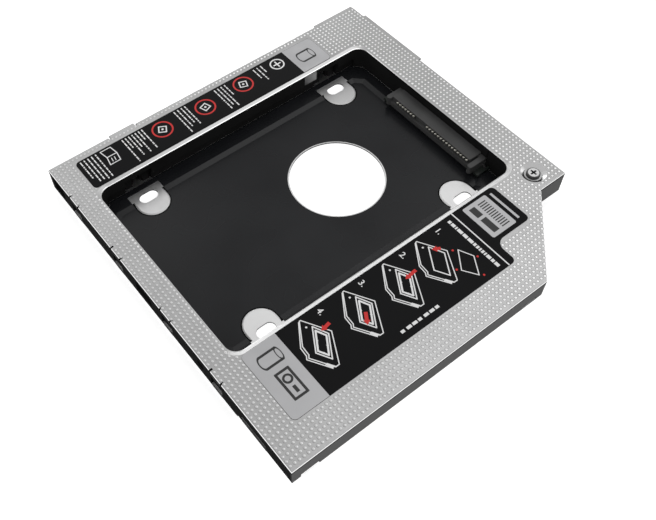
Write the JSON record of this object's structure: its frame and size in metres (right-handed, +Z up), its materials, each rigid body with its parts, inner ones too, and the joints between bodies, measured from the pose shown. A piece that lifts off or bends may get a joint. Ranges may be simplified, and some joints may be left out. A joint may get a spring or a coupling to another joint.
{
  "type": "laptop drive caddy",
  "caption": "Slim laptop caddy that holds a 2.5 inch drive in an optical bay: dimpled aluminium cover with a window, black moulded frame, slotted floor pads and a drive socket.",
  "frame": {"origin": "under the centre of the caddy's outline, on the plane of the sunk floor panel it rests on", "axes": "+X along the front edge towards the thin wing, +Y from the front to the connector end, +Z up out of the window"},
  "size_m": [0.1224, 0.1226, 0.009],
  "materials": {
    "cover_sheet": "embossed satin",
    "base_sheet": "satin",
    "frame_plastic": "fine textured",
    "black_film": "semi-gloss",
    "spring_steel": "bright",
    "board_laminate": "black lacquered",
    "insulating_film": "smooth",
    "connector_plastic": "smooth",
    "contact_gold": "gold plated",
    "tinned_strap": "tinned",
    "capacitor_body": "ceramic",
    "resistor_body": "glazed",
    "bright_screw": "plated",
    "label_print": "printed vinyl"
  },
  "bodies": {
    "root": {"top_cover": "cover_sheet", "bottom_plate": "base_sheet", "inner_frame": "frame_plastic", "floor_film": "black_film", "earthing_spring": "spring_steel", "adapter_board": "board_laminate", "board_insulator": "insulating_film", "drive_socket_housing": "connector_plastic", "drive_socket_signal_contacts": "contact_gold", "drive_socket_power_contacts": "contact_gold", "drive_socket_hold_downs": "tinned_strap", "rear_plug_housing": "connector_plastic", "rear_plug_signal_contacts": "contact_gold", "rear_plug_power_contacts": "contact_gold", "board_capacitors": "capacitor_body", "board_resistors": "resistor_body", "cover_screw": "bright_screw", "base_screws": "bright_screw", "left_label": "label_print", "right_label": "label_print"}
  },
  "joints": []
}
